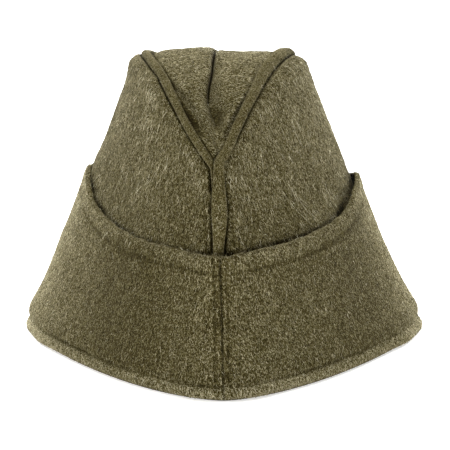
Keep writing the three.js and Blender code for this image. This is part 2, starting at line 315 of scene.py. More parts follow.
# Adds one node with its settings, links its inputs to other nodes' outputs, and gives one of its
# own outputs.
def addNode(tree, kind, settings=None, links=None, output=0):
    node = tree.nodes.new(f"ShaderNode{kind}")
    for key, value in (settings or {}).items():
        if key == "stops":
            elements = node.color_ramp.elements
            while len(elements) < len(value):
                elements.new(1)
            for element, (position, colour) in zip(elements, value):
                element.position = position
                element.color = linear(colour)
        elif isinstance(key, str) and hasattr(node, key):
            setattr(node, key, value)
        else:
            isColour = isinstance(value, str) and value.startswith("#")
            node.inputs[key].default_value = linear(value) if isColour else value
    for key, source in (links or {}).items():
        tree.links.new(source, node.inputs[key])
    return node.outputs[output] if node.outputs else None


def newMaterial(name):
    material = bpy.data.materials.new(name)
    material.use_nodes = True
    material.node_tree.nodes.clear()
    return material, material.node_tree


# Wool melton: thick woven wool, fulled until the weave is hidden, with a short raised nap.
# Dark, olive and straw-coloured fibres are blended before spinning, so it looks heathered. One
# fibre is about 0.03 mm thick, too fine to show, so it is drawn as tufts of ten or so.
melton = {
    "colours": (
        (0.06, "#151004"),
        (0.32, "#231e0b"),
        (0.50, "#3b351b"),
        (0.68, "#615a3d"),
        (0.92, "#a49d82"),
    ),
    "ground": ((0.6, 0.5), (2.4, 0.5), (11.0, 0.3)),   # uneven blending: mm and contrast
    "groundTone": -0.165,
    "tufts": (               # tilt in degrees, width in mm, share of the fibre length, strength
        (-20, 0.38, 1.0, 0.75),
        (17, 0.30, 0.9, 0.8),
        (-4, 0.24, 1.3, 0.9),
        (38, 0.26, 0.6, 0.7),
    ),
    "tuftEdge": (0.62, 0.38),
    "middle": 0.53,
    "curl": 0.8,             # how far the fibres wander, in mm
    "curlSize": 2.6,
    # painted shade: where shade is painted, the colours step down this far
    "paintedShadeStep": 0.68,     # in the grooves, as a step down the colours
    "bumpHeight": 0.3,
    "bumpStrength": 0.7,
    # wool scatters light with next to no gloss, and its tips catch some at a grazing angle
    "finish": {
        "Roughness": 0.95,
        "Specular IOR Level": 0.02,
        "Sheen Weight": 0.14,
        "Sheen Roughness": 0.2,
        "Sheen Tint": "#d8d0b0",
    },
    "napTones": (
        (0.0, "#151004"),
        (0.3, "#231f0b"),
        (0.55, "#464024"),
        (0.8, "#787154"),
        (1.0, "#bbb59b"),
    ),
}


def wool(tree, stops, tone, height=None, hollow=None):
    links = {"Base Color": addNode(tree, "ValToRGB", {"stops": stops}, {"Fac": tone})}
    if hollow:
        # less sheen where shade is painted, as pressed nap in a groove has little, and more where
        # light is painted
        sheen = melton["finish"]["Sheen Weight"]
        fading = {"operation": "MULTIPLY_ADD", 1: -sheen, 2: sheen}
        links["Sheen Weight"] = addNode(tree, "Math", fading, {0: hollow})
    if height:
        relief = {"Strength": melton["bumpStrength"], "Distance": melton["bumpHeight"] * mm}
        links["Normal"] = addNode(tree, "Bump", relief, {"Height": height})
    surface = addNode(tree, "BsdfPrincipled", melton["finish"], links)
    addNode(tree, "OutputMaterial", {}, {"Surface": surface})


# The nap lies up and down, turned by some degrees. Its fibres' length is in mm.
def meltonCloth(name, turn, fibreLength, clearness=1.0):
    material, tree = newMaterial(name)
    where = addNode(tree, "TexCoord", output="Object")
    total = None
    for size, contrast in melton["ground"]:
        grain = {"Scale": 1 / (size * mm), "Detail": 2.0, "Roughness": 0.6}
        links = {0: addNode(tree, "TexNoise", grain, {"Vector": where})}
        if total:
            links[2] = total
        adding = {"operation": "MULTIPLY_ADD", 1: contrast, 2: melton["groundTone"]}
        total = addNode(tree, "Math", adding, links)
    curls = {"Scale": 1 / (melton["curlSize"] * mm), "Detail": 1.0}
    curl = addNode(tree, "TexNoise", curls, {"Vector": where}, "Color")
    bending = {"operation": "MULTIPLY_ADD", 1: (melton["curl"] * mm,) * 3}
    curled = addNode(tree, "VectorMath", bending, {0: curl, 2: where})
    wide, narrow = melton["tuftEdge"]
    for tilt, width, share, strength in melton["tufts"]:
        turning = {"Rotation": (0, math.radians(tilt + turn), 0)}
        turned = addNode(tree, "Mapping", turning, {"Vector": curled})
        across, along = 1 / (width * mm), 1 / (fibreLength * share * mm)
        stretching = {"operation": "MULTIPLY", 1: (across, across, along)}
        stretched = addNode(tree, "VectorMath", stretching, {0: turned})
        distance = addNode(tree, "TexVoronoi", {"Scale": 1.0}, {"Vector": stretched}, "Distance")
        tone = addNode(tree, "SeparateColor", {}, {"Color": distance.node.outputs["Color"]})
        edge = {"From Min": wide, "From Max": narrow, "To Min": 0.0, "To Max": strength}
        inside = addNode(tree, "MapRange", edge, {"Value": distance})
        total = addNode(tree, "Mix", {"data_type": "FLOAT"}, {0: inside, 2: total, 3: tone})
    evening = {"operation": "MULTIPLY_ADD", 1: clearness, 2: (1 - clearness) * melton["middle"]}
    evened = addNode(tree, "Math", evening, {0: total})
    # painted shade and painted light from the piece's values darken or lighten the colours
    hollow = addNode(tree, "Attribute", {"attribute_name": "hollow"}, output="Fac")
    shading = {"operation": "MULTIPLY_ADD", 1: -melton["paintedShadeStep"]}
    shaded = addNode(tree, "Math", shading, {0: hollow, 2: evened})
    wool(tree, melton["colours"], shaded, total, hollow)
    return material


sideCloth = meltonCloth("woolMeltonSide", 0, 2.4)
topCloth = meltonCloth("woolMeltonTop", 62, 1.8)
curtainCloth = meltonCloth("woolMeltonCurtain", 0, 1.7)
weltCloth = meltonCloth("woolMeltonWelt", 0, 0.9, 0.75)

# the nap's own tufts, each in one tone
napWool, tree = newMaterial("woolNapTufts")
tone = addNode(tree, "Attribute", {"attribute_name": "tone"}, output="Fac")
wool(tree, melton["napTones"], tone)
print("materials made")


curtain = {
    "height": 59.6, "risePower": 8.0,
    "wall": 2.7,
    "clearance": 0.3, "gapSeam": 2.6, "gapPower": 1.5, "overWelt": 0.2,
    "turnHeight": 11.0, "turnBulge": 2.6,
    # drawn in along its hem at the sides, and fuller over it and low down
    "dent": {"by": 0.8, "at": 6.6, "reach": 2.2},
    "sideSwell": {"by": 0.7, "at": 13.0, "reach": 5.0},
    "cornerSwell": {"by": 1.3, "at": 0.745, "reach": 0.085, "height": 16.0},
    "frontSwell": {"by": 1.5, "at": 13.0, "reach": 10.0, "height": 40.0},
    "slack": {"at": 38.0, "reach": 18.0},
    "evenAt": 0.35,
    "fineReach": 3.0, "finePitch": 0.5,      # rows are closer near a stitch row
    "middleRows": 34, "innerRows": 14, "edgeSteps": 7,
    "hemHeight": 6.8, "hemBulge": 0.7,
    "hemSwell": {"share": 0.6, "size": 30.0},
    "edgeBulge": 0.25,
    "rowInset": 7.4,         # the upper stitch row lies this far below the top edge
    "grooveDepth": 0.7, "grooveWidth": 0.8,
    "rowDepth": {"share": 0.75, "spread": 0.45, "size": 13.0},   # deeper here, shallower there
    "topRowShare": 0.4,
    "hemRowFade": {"by": 0.55, "from": 0.5, "over": 0.3},   # at the sides
    "stitchPitch": 3.2,
    "pucker": 0.45,          # share of the depth that comes and goes with the stitches
    "seamDepth": 0.4, "seamWidth": 0.35,
    "seamRow": 2.9, "seamRowDepth": 0.45,    # rows beside the centre seams
    "lumps": ((9.0, 0.7), (3.6, 0.4)),      # the folded top edge is uneven
    "waves": ((42.0, 0.9), (17.0, 0.35), (6.0, 0.12)),
    # painted shade in the stitch rows and seams and over a band of each side; painted light at the
    # corners, on the hem and in a spot of the left side; the top edge is drawn paler
    "shade": {"hemRow": 0.42, "topRow": 0.75, "seamRow": 0.32, "seam": 0.3},
    "paintedShadeReach": 0.22,
    "bright": {"at": 0.75, "reach": 0.15},
    "paler": {"corners": -0.17, "hem": -0.22, "edge": -0.1},
    "cornersFrom": 0.7,
    "napRoom": 0.8,
}


# Welts: rolls of the same cloth along the ridges, each running down one seam as well.
welt = {
    "width": {"left": 4.3, "right": 4.4},
    "thickness": {"left": 4.0, "right": 4.2},
    # at shares of its way from its own seam
    "widths": {
        "left": ((0.0, 4.3), (0.5, 4.8), (0.75, 4.1), (0.85, 3.6), (1.0, 3.5)),
        "right": ((0.0, 4.4), (0.06, 4.2), (0.12, 4.0), (0.2, 4.6), (0.3, 6.6), (0.5, 6.8),
                  (0.75, 4.8), (1.0, 4.4)),
    },
    "thicknesses": {
        "left": ((0.0, 4.0), (0.5, 4.6), (0.8, 4.0)),
        "right": ((0.0, 4.2), (0.12, 4.1), (0.3, 4.8), (0.5, 4.8), (0.8, 4.2)),
    },
    # how far each roll lies off its ridge, over the side panel, or over the top if below 0
    "slides": {
        "left": ((0.0, 0.0), (0.4, -0.5), (0.6, -0.8), (0.745, -1.2), (0.8, -0.1), (0.85, 1.0),
                 (0.918, 2.7), (0.97, 3.7), (1.0, 3.9)),
        "right": ((0.0, 0.8), (0.04, 0.3), (0.08, -0.7), (0.12, -1.3), (0.3, -3.6), (0.47, -2.4),
                  (0.7, -0.4), (0.8, 1.0), (0.91, 3.3), (1.0, 3.8)),
    },
    "seamWidth": 5.4,
    "seamSwell": {"width": 1.4, "shift": 0.35, "at": 76.5, "reach": 8.5},
    "seamFootShift": 0.7, "forkShift": 0.6,
    "endWidth": 4.6, "endThickness": 2.6,
    "taper": 18.0,
    "tuck": 4.0,
    "uprightShare": 0.97,
    "sink": 1.4,           # the roll is sewn into the seam this deep
    # its far end goes in under the other roll and runs down beside it
    "tail": {"sink": 3.2, "halfWidth": 1.2, "reach": 16.0, "drop": 8.0, "at": 1.2,
             "stations": 16, "onwards": 2.0, "downwards": 0.5, "searched": 0.12},
    "forkLift": 0.8, "forkReach": 9.0,
    "outwardShare": 0.99,
    "rimSteps": 24, "rimShare": 0.9,
    "topRise": {"by": 1.0, "over": 3.0},
    "stations": 260, "seamStations": 60, "smoothings": 3, "sides": 28,
    # painted shade on the roll's flanks and near the other roll; the roll is drawn a little paler
    # all over
    "paler": -0.05,
    "shadeFrom": 0.3,      # its flanks lie in the shade of the groove
    "crossing": 0.8,       # and so does it this near to the other roll
    "wobble": {"by": 0.22, "size": 16.0},
    "plump": {"share": 0.06, "widthSize": 7.0, "thicknessSize": 9.0},
}


def whereHalfWidthIs(width, half):
    return (1 - (1 - width / half["ridgeHalfWidth"]) ** (1 / crown["ridgePlanPower"])) / 2


def ridgeOutward(half, u):
    step = 1e-2
    along = ridge(half, np.minimum(u + step, 1)) - ridge(half, np.maximum(u - step, 0))
    along[..., 0] = 0
    upwards = unit(np.cross(np.broadcast_to([1.0, 0, 0], along.shape), along))
    return unit(crownNormal(half, u, welt["outwardShare"] + 0 * u) + upwards)


# Looks up one of the tables above. The left roll's own seam is the back one.
def weltTable(kind, side, u):
    shares, values = np.array(welt[kind][side]).T
    return np.interp(1 - u if side == "left" else u, shares, values)


# The point of the side panel this far from the ridge, measured over the cloth.
def overRim(half, u, distance):
    s = np.linspace(1, welt["rimShare"], welt["rimSteps"])
    rows = crownPoint(half, u[:, None], s[None, :])
    return np.array([placesAlong(d, lengthsAlong(row), row) for d, row in zip(distance, rows)])


def weltPath(side, beginsAtBack):
    half = halves[side]
    seam = 1.0 if beginsAtBack else 0.0
    # up the seam
    lowest = curtain["height"] - welt["tuck"]
    z = np.linspace(lowest, crown["forkHeight"], welt["seamStations"])
    grown = smooth((z - lowest) / welt["taper"])
    nearFork = smooth((z - (crown["forkHeight"] - welt["taper"])) / welt["taper"])
    s = z / crown["forkHeight"]
    u = np.full_like(z, seam)
    seamAt = crownPoint(half, u, s)
    seamOut = unit(crownOffset(half, u, np.minimum(s, welt["uprightShare"]), 1 + 0 * s))
    forkOut = ridgeOutward(half, u[-1:])
    forkOut[..., 0] = 0
    seamOut[-1] = unit(seamOut[-1] + unit(forkOut)[0])
    slim, thin = welt["width"][side], welt["thickness"][side]
    seamWidth = mix(mix(welt["endWidth"], welt["seamWidth"], grown), slim, nearFork)
    swell = welt["seamSwell"]
    swelling = near(z, swell)
    seamWidth = seamWidth + swell["width"] * swelling
    seamAt[..., 0] += swell["shift"] * swelling - welt["seamFootShift"] * (1 - grown)
    seamAt[..., 0] += welt["forkShift"] * nearFork
    seamThickness = mix(welt["endThickness"], thin, grown)

    # along the ridge
    tail = welt["tail"]
    start = whereHalfWidthIs(slim / 2, half)
    finish = 1 - whereHalfWidthIs(tail["halfWidth"], half)
    share = np.linspace(start, finish, welt["stations"])
    u = 1 - share if beginsAtBack else share
    tables = ("widths", "thicknesses", "slides")
    width, thickness, slide = (weltTable(kind, side, u) for kind in tables)
    at = overRim(half, u, np.maximum(slide, 0))
    inwards = np.maximum(-slide, 0)
    at[..., 0] -= inwards
    at[..., 2] += welt["topRise"]["by"] * np.clip(inwards / welt["topRise"]["over"], 0, 1)

    # and down beside the other roll
    end = at[-1]
    share = np.linspace(0, 1, tail["stations"])[1:]
    endZ = end[2] - tail["drop"] * share
    nearby = np.abs((1 - seam) - np.linspace(0, tail["searched"], 200))[:, None]
    panel = atHeight(half, nearby, endZ[None, :], 0).transpose(1, 0, 2)
    endX = mix(end[0], tail["at"], smooth(share))
    tailAt = np.array([placesAlong(x, line[:, 0], line) for x, line in zip(endX, panel)])
    ridgeOut = ridgeOutward(half, u)
    turned = (0, tail["onwards"] * (1 - 2 * seam), -tail["downwards"])
    tailOut = np.broadcast_to(unit(ridgeOut[-1] + turned), tailAt.shape)

    at = np.concatenate([seamAt, at, tailAt])
    out = np.concatenate([seamOut, ridgeOut, tailOut])
    width = np.concatenate([seamWidth, width, width[-1] + 0 * endZ])
    thickness = np.concatenate([seamThickness, thickness, thickness[-1] + 0 * endZ])
    length = lengthsAlong(at)
    ended = smooth((length - length[-1]) / tail["reach"] + 1)
    sink = ended * (tail["sink"] - welt["sink"]) + welt["sink"]
    nearest = np.linalg.norm(at - seamAt[-1], axis=-1)
    own = np.arange(len(at)) < len(at) / 2
    sink = sink - own * welt["forkLift"] * bell(nearest, welt["forkReach"])
    centre = at + out * (thickness / 2 - sink)[:, None]
    # an even spacing, so that the bend at the fork is drawn out over several rings
    length = lengthsAlong(centre)
    even = np.linspace(0, length[-1], len(length))
    centre, out = placesAlong(even, length, centre), unit(placesAlong(even, length, out))
    width = np.interp(even, length, width)
    thickness = np.interp(even, length, thickness)
    for _ in range(welt["smoothings"]):
        centre[1:-1] = (centre[:-2] + 2 * centre[1:-1] + centre[2:]) / 4
        out = unit(np.concatenate([out[:1], out[:-2] + 2 * out[1:-1] + out[2:], out[-1:]]))
    forward = unit(np.gradient(centre, axis=0))
    across = unit(np.cross(forward, out))
    out = np.cross(across, forward)
    # the cloth in it is uneven
    plump, wobble = welt["plump"], welt["wobble"]
    spot, seed = points(even, 0, 0), half["seed"]
    width = width * (1 + plump["share"] * softNoise(spot, plump["widthSize"], seed))
    uneven = plump["share"] * softNoise(spot, plump["thicknessSize"], seed + 1)
    thickness = thickness * (1 + uneven)
    aside = wobble["by"] * softNoise(spot, wobble["size"], seed + 2)
    centre = centre + across * aside[:, None]
    return {"centre": centre, "out": out, "across": across, "width": width,
            "thickness": thickness, "line": settled(half, centre)}


weltPaths = {"left": weltPath("left", True), "right": weltPath("right", False)}


# How far the points of a sheet lie from the edge of the nearest roll.
def besideRolls(sheet, sides=("left", "right")):
    away = np.full(sheet.shape[:2], np.inf)
    for path in (weltPaths[side] for side in sides):
        for k, row in enumerate(sheet):
            gap = np.linalg.norm(row[:, None] - path["line"][None, ::2], axis=-1)
            beside = (gap - path["width"][::2] / 2).min(1)
            away[k] = np.minimum(away[k], beside)
    return away


# How far the curtain's top edge stands off the crown.
def curtainOpening(half, u):
    overWelt = 1 - smooth(fromSeam(u) / curtain["overWelt"])
    return mix(half["curtainGap"], curtain["gapSeam"], overWelt)


def curtainTop(half, u):
    rise = np.sin(quarterTurn * fromSeam(u)) ** curtain["risePower"]
    return curtain["height"] + half["curtainRise"] * rise


# Side panels: one closed shell each, its rings running up the outside and down the inside.
def crownShell(name, side):
    half = halves[side]
    u = columnsAt(half, crown["evenAt"])
    down = spaced(2 * crown["seenHeight"], **crown["spacing"])
    down = down[down < crown["seenHeight"]]
    seen = 1 - down[::-1] / crown["ridgeHeight"]
    hidden = np.linspace(0, seen[0], crown["hiddenRows"], endpoint=False)
    s = np.concatenate([hidden, seen])[None, :]
    outer = crownPoint(half, u, s)
    fromRidge = np.linalg.norm(outer - ridge(half, u + 0 * s), axis=-1)
    inwards = np.maximum(-weltTable("slides", side, u), 0)
    followed = inwards * bell(fromRidge, crown["shoulderReach"])
    followed = np.minimum(followed, outer[..., 0])
    world = settled(half, outer - followed[..., None] * (1, 0, 0))
    beside = besideRolls(world)
    above = outer[..., 2] - curtainTop(half, u)
    bearing = crown["bearing"]
    bears = near(above, bearing) * smooth(beside / bearing["fromWelt"])
    bears = bears * before(fromSeam(u), bearing["upTo"], bearing["fade"])
    puffed = half["crownSwell"] + crown["puff"]["by"] * near(beside, crown["puff"])
    puffed = puffed + waves(world, crown["waves"], half["seed"])
    lift = smooth(above / crown["waveFade"] + 1) * puffed
    # the grooves are wider beside the centre seams
    strip = crown["seamStrip"]
    belowFork = smooth((strip["halfWidth"] - outer[..., 0]) / strip["fade"])
    belowFork = belowFork * smooth((crown["forkHeight"] - outer[..., 2]) / strip["forkFade"])
    groove = crown["groove"]
    grooveFloor = mix(groove["floor"], crown["seamFloor"][side], belowFork)
    sunk = bell(np.maximum(np.abs(beside) - grooveFloor, 0), groove["width"])
    lift = lift - groove["depth"] * sunk * smooth(1 + beside / groove["inside"])
    lift = lift + bearing["share"] * bears * curtainOpening(half, u)
    outer = outer + crownOffset(half, u, s, lift)
    shoulder = bell(fromRidge, crown["shoulderReach"]) * np.sin(quarterTurn * fromSeam(u))
    outer[..., 2] += half["shoulderLift"] * shoulder * (1 - sunk)
    outer[..., 0] -= followed
    outer[[0, -1], :, 0] = 0
    # painted shade in the grooves beside the welts, in the gap behind the curtain's edge, broken up
    # at random, and over the crown's lowest part
    gap, low = crown["gapShade"], crown["footShade"]
    shade = gap["middle"] + gap["spread"] * softNoise(world, gap["size"], half["seed"] + 5)
    shade = np.clip(shade, 0, 1) * before(above, -gap["height"], gap["fade"])
    paintedDarkening = low["by"] * before(above, 0, low["height"])
    hollow = np.maximum(np.maximum(sunk, shade), paintedDarkening)
    inwards = np.linspace(1, 0, crown["innerRows"])[None, :]
    wall = crown["wall"] + 0 * u * inwards
    inner = crownPoint(half, u, inwards) + crownOffset(half, u, inwards, -wall)
    inner[:, -1, 2] = 0
    inner[..., 0] = np.maximum(inner[..., 0], 0)
    inner[[0, -1], :, 0] = 0
    rings = settled(half, np.concatenate([outer, inner], 1))
    shell = ringPiece(name, rings, np.concatenate([hollow, 0 * wall], 1))
    room = np.minimum(beside, above + crown["napRoom"])
    return shell, settled(half, outer), hollow, room, above


crownSheets = {}
for side in ("left", "right"):
    shell, *crownSheets[side] = crownShell(f"crownSide_{side}", side)
    place(shell, sideCloth, f"crown_side_{side}")
print("side panels made")


# Curtain: turned up, so its section is one long loop with rounded edges.
def standOff(half, u, z):
    share = np.clip(z / curtainTop(half, u), 0, 1)
    turn = z / curtain["turnHeight"] * np.exp(1 - z / curtain["turnHeight"])
    away = mix(curtain["clearance"], curtainOpening(half, u), share ** curtain["gapPower"])
    return away + curtain["turnBulge"] * turn


# Stitches sit in small dimples along each row.
def dimples(along, places, seed):
    depth = curtain["rowDepth"]
    each = 0.5 + 0.5 * np.cos(2 * math.pi * along / curtain["stitchPitch"])
    uneven = depth["share"] + depth["spread"] * softNoise(places, depth["size"], seed)
    return uneven * mix(1, each, curtain["pucker"])


# The heights of its rows, and which two are the stitch rows.
def curtainRowsAt(top):
    reach, low, high = curtain["fineReach"], curtain["hemHeight"], curtain["rowInset"]
    radius = curtain["wall"] / 2
    close = np.arange(-reach, reach, curtain["finePitch"])
    fromFoot = np.concatenate([np.linspace(radius, low - reach, 3, endpoint=False), low + close])
    fromTop = np.concatenate([high - close, np.linspace(high - reach, radius, 5)])
    middle = np.linspace(0, 1, curtain["middleRows"])[1:-1]
    between = mix(fromFoot[-1], top - fromTop[0], middle[None, :])
    z = np.concatenate([fromFoot[None, :] + 0 * top, between, top - fromTop[None, :]], 1)
    hemRow = len(fromFoot) - len(close) // 2 - 1
    return z, hemRow, len(fromFoot) + len(middle) + len(close) // 2


def curtainShell(name, half):
    u = columnsAt(half, curtain["evenAt"])
    away, seed = fromSeam(u), half["seed"]
    top = curtainTop(half, u)
    radius, low, high = curtain["wall"] / 2, curtain["hemHeight"], curtain["rowInset"]
    z, *stitchRows = curtainRowsAt(top)
    bare = atHeight(half, u, z, standOff(half, u, z) + curtain["wall"])
    world = settled(half, bare)
    column = np.array([lengthsAlong(line) for line in bare.transpose(1, 0, 2)]).T
    fromEnd = np.minimum(column, column[-1] - column)
    lumps = waves(world, curtain["lumps"], seed + 40)
    edgeShare = smooth(1 - (top - z) / high)

    # stitch rows and seams
    fade, grooveWidth = curtain["hemRowFade"], curtain["grooveWidth"]
    across = dimples(column, world, seed + 30)
    hemRow = bell(z - low, grooveWidth) * across
    hemRow = hemRow * (1 - fade["by"] * smooth((away - fade["from"]) / fade["over"]))
    topRow = bell(top - z - high, grooveWidth) * across * curtain["topRowShare"]
    seamRow = bell(fromEnd - curtain["seamRow"], grooveWidth) * dimples(z, world, seed + 31)
    seam = bell(fromEnd, curtain["seamWidth"])

    # swells, dents and waves
    hem = np.sin(math.pi * np.clip(z / low, 0, 1))
    swell = curtain["hemSwell"]
    hemSwell = 1 + swell["share"] * softNoise(world, swell["size"], seed + 32)
    sideways = np.sin(quarterTurn * away) ** 2
    dent, sides = curtain["dent"], curtain["sideSwell"]
    corner, front = curtain["cornerSwell"], curtain["frontSwell"]
    lift = (
        curtain["hemBulge"] * hem * hemSwell
        + curtain["edgeBulge"] * bell(top - z - high / 2, high / 3)
        - curtain["grooveDepth"] * (hemRow + topRow)
        - curtain["seamRowDepth"] * seamRow
        - curtain["seamDepth"] * seam
        + 0.5 * lumps * edgeShare
        - half["curtainSlack"] * near(z, curtain["slack"])
        - dent["by"] * near(z, dent) * sideways
        + sides["by"] * near(z, sides) * sideways
        + corner["by"] * near(away, corner) * before(z, 0, corner["height"])
        + front["by"] * near(column, front) * before(z, 0, front["height"])
    )
    sway = waves(world, curtain["waves"], seed + 20)
    sway = sway * smooth(z / 14) * smooth(fromEnd / 10 + 0.2)
    z = z + lumps * edgeShare

    # the loop: outside, top edge, inside and foot
    outer = atHeight(half, u, z, standOff(half, u, z) + curtain["wall"] + lift + sway)
    turn = np.linspace(0, math.pi, curtain["edgeSteps"] + 2)[None, 1:-1]
    edgeZ = z[:, -1:] + radius * np.sin(turn)
    edgeSway = (lift + sway)[:, -1:] * (0.5 + 0.5 * np.cos(turn))
    edgeAway = standOff(half, u, edgeZ) + radius + radius * np.cos(turn) + edgeSway
    edge = atHeight(half, u, edgeZ, edgeAway)
    innerZ = mix(z[:, -1:], radius, np.linspace(0, 1, curtain["innerRows"])[None, :])
    inner = atHeight(half, u, innerZ, standOff(half, u, innerZ))
    footZ = radius + radius * np.sin(turn + math.pi) + 0 * u
    footAway = radius + radius * np.cos(turn + math.pi)
    under = atHeight(half, u, footZ, standOff(half, u, footZ) + footAway)
    rings = settled(half, np.concatenate([outer, edge, inner, under], 1))

    # painted shade in its grooves, over a band of each side, on the inner face of its folded edge
    # and inside; painted light at its corners and hem, and paler cloth near its top edge
    grooves = {"hemRow": hemRow, "topRow": topRow, "seamRow": seamRow, "seam": seam}
    hollow = np.max([share * grooves[kind] for kind, share in curtain["shade"].items()], 0)
    paintedDarkening = bell(away - half["paintedShadeCurtainAt"], curtain["paintedShadeReach"])
    hollow = hollow + half["paintedShadeCurtain"] * paintedDarkening
    hollow = hollow - half["paintedLightCurtain"] * near(away, curtain["bright"])
    paler, cornersFrom = curtain["paler"], curtain["cornersFrom"]
    hollow = hollow + paler["corners"] * smooth((away - cornersFrom) / (1 - cornersFrom))
    hollow = hollow + paler["hem"] * before(z, low - 1, 3)
    hollow = hollow + paler["edge"] * edgeShare
    edgePaintedShade = smooth((turn / math.pi - 0.6) / 0.4) + 0 * u
    innerPaintedShade = np.linspace(1, 0.4, curtain["innerRows"])[None, :] + 0 * u
    depth = np.concatenate([hollow, edgePaintedShade, innerPaintedShade, 0 * footZ], 1)

    seen = settled(half, np.concatenate([under[:, -2:], outer, edge], 1))
    seenPaintedShade = np.concatenate([0 * footZ[:, -2:], hollow, edgePaintedShade], 1)
    room = np.concatenate([fromEnd[:, :2], fromEnd, fromEnd[:, -1:] + 0 * turn], 1)
    outerWorld = settled(half, outer)
    rows = [outerWorld[:, k] for k in stitchRows]
    for reach in (curtain["seamRow"], column[-1, 0] - curtain["seamRow"]):
        nearest = np.abs(column - reach).argmin(0)
        rows.append(outerWorld[nearest, np.arange(len(nearest))][4:-4])
    return ringPiece(name, rings, depth), rows, seen, seenPaintedShade, room + curtain["napRoom"]


curtainSheets = {}
curtainRows = {}
for side in ("left", "right"):
    name = f"curtainCloth_{side}"
    shell, curtainRows[side], *curtainSheets[side] = curtainShell(name, halves[side])
    place(shell, curtainCloth, f"curtain_{side}")
print("curtain made")


# Top panel, folded in along a crease near its middle. The left half's lip hangs over the crease.
top = {
    "wall": 2.0,
    "sink": 0.4,
    "tipHalfWidth": 0.9,
    "clearance": 0.3,
    "crease": {"depth": 4.2, "width": 1.1, "start": 0.315, "growth": 0.06},
    # it wanders, as a share of the half width
    "bend": {"by": -0.2, "at": 0.15, "reach": 0.09},
    "shift": {"front": -0.02, "back": 0.08, "from": 0.5, "over": 0.2},
    # painted shade along the opened crease, this wide on each side
    "paintedCreaseShade": {"left": 0.8, "right": 0.65},
    "overhang": {"by": 0.9, "at": 1.1, "reach": 0.8},
    # the hollow beside it, deeper towards the front
    "flank": {"depth": 3.4, "width": 6.0, "from": 0.42, "over": 0.25},
    # the dimple where the crease ends at the front gets painted shade too
    "dimple": {"depth": 3.2, "line": ((0.09, 1.2), (0.13, 0.3), (0.16, -2.0)), "width": 3.4,
               "leftWidth": 2.0, "at": 0.132, "reach": 0.04, "shade": 0.4},
    "pillow": {"left": 5.0, "right": 3.7},
    "pillowPower": {"left": 1.6, "right": 3.0},
    "valley": {"depth": 3.0, "width": 4.5, "end": 0.5},
    "edgeRise": {"by": 2.2, "reach": 1.6, "middle": 0.6},   # it stands up beside the welts
    "groove": {"depth": 0.6, "width": 0.6},                 # the seams pull its edges down
    # behind the front tenth the right edge runs smoothly into its welt
    "softEdge": {"share": 0.35, "from": 0.1, "over": 0.06},
    "tuck": 0.6,            # past the middle of the roll that it goes in under
    "cover": 0.3,
    # the panel is drawn a little paler all over, and gets painted light beside the left welt near
    # the front, over the roll's shadow
    "paler": -0.08,
    "lit": {"by": 0.3, "fromWelt": 2.2, "width": 2.0, "at": 0.14, "reach": 0.06},
    "stations": 180, "rimColumns": 7,
    "columns": 46, "columnPower": 1.3,      # on each side of the crease, and closer near it
    "waves": ((20.0, 0.5), (8.0, 0.25), (3.5, 0.12)),
}


def topEdge(half, u):
    n = crownNormal(half, u, 1 + 0 * u)
    across = (n[..., 0] ** 2 + n[..., 1] ** 2) / np.abs(n[..., 0])
    edge = ridge(half, u)[..., 0] - crown["wall"] * across - top["clearance"]
    return np.maximum(edge, top["tipHalfWidth"] / 3)


# reach runs from 0 at the crease to 1 at the panel's edge, and on to 2 where it is sewn in.
def topSheet(u, side, reach):
    half = halves[side]
    sign = half["mirror"]
    edge = topEdge(half, u)
    room = edge / topEdge(half, np.full_like(u, 0.5))
    bend, shift = top["bend"], top["shift"]
    backwards = smooth((u - shift["from"]) / shift["over"])
    shifted = mix(shift["front"], shift["back"], backwards)
    crease = edge * (bend["by"] * near(u, bend) + shifted)
    x = mix(crease, sign * edge, np.minimum(reach, 1))
    fold = top["crease"]
    opened = smooth((fromSeam(u) - fold["start"]) / fold["growth"])
    away = np.abs(x - crease)
    slit = bell(away, fold["width"])
    dip = opened * fold["depth"] * slit
    if side == "right":
        flank = top["flank"]
        forwards = smooth((flank["from"] - u) / flank["over"])
        beside = opened * forwards * flank["depth"] * before(away, 0, flank["width"])
        dip = dip + beside * (1 - slit)
    dimple = top["dimple"]
    line = np.interp(u, *np.array(dimple["line"]).T)
    width = np.where(x < line, dimple["leftWidth"], dimple["width"])
    pressed = bell(x - line, width) * near(u, dimple)
    dip = dip + dimple["depth"] * pressed
    within = np.clip(1 - np.minimum(reach, 1) ** top["pillowPower"][side], 0, 1)
    rise = top["pillow"][side] * room * np.sqrt(within)
    # the valley between the halves, and the edges standing up beside the welts
    valley, upright = top["valley"], top["edgeRise"]
    beyond = np.sin(math.pi * np.clip(fromSeam(u) / valley["end"], 0, 1))
    middle = bell(x - 0.5 * crease, valley["width"])
    slide = np.maximum(weltTable("slides", side, u), 0)
    strip = np.maximum(slide - welt["width"][side] / 2, 0)
    over = np.clip(reach - 1, 0, 1)
    toRoll = np.maximum(np.abs(sign * edge - x) + strip - (slide + top["tuck"]) * over, 0)
    stands = upright["by"] * beyond**0.5 * smooth(toRoll / upright["reach"])
    rise = rise + stands * (1 - upright["middle"] * middle)
    line = ridge(half, u)
    z = line[..., 2] - top["sink"] + rise - dip - valley["depth"] * beyond * middle * within
    if side == "left":
        lip = top["overhang"]
        x = x + opened * lip["by"] * near(away, lip)
    sheet = points(x, line[..., 1] + 0 * reach, z)
    # past its edge it goes over the side panel's rim and in under the roll
    reached = slide[:, 0] + top["tuck"]
    rim = np.stack([overRim(half, u[:, 0], reached * share) for share in over[0]], 1)
    rim = rim + crownOffset(half, u, 0.99 + 0 * over, top["cover"] * np.minimum(over * 4, 1))
    rim[..., 2] += top["cover"] + stands
    rim[..., 0] *= sign
    sheet = np.where(reach[..., None] > 1, rim, sheet)
    # painted shade along the opened crease and in the dimple
    bare = opened * bell(away, top["paintedCreaseShade"][side])
    hollow = np.maximum(bare, dimple["shade"] * pressed) + top["paler"]
    return sheet, hollow, np.where(opened > 0.5, away, 9.0)


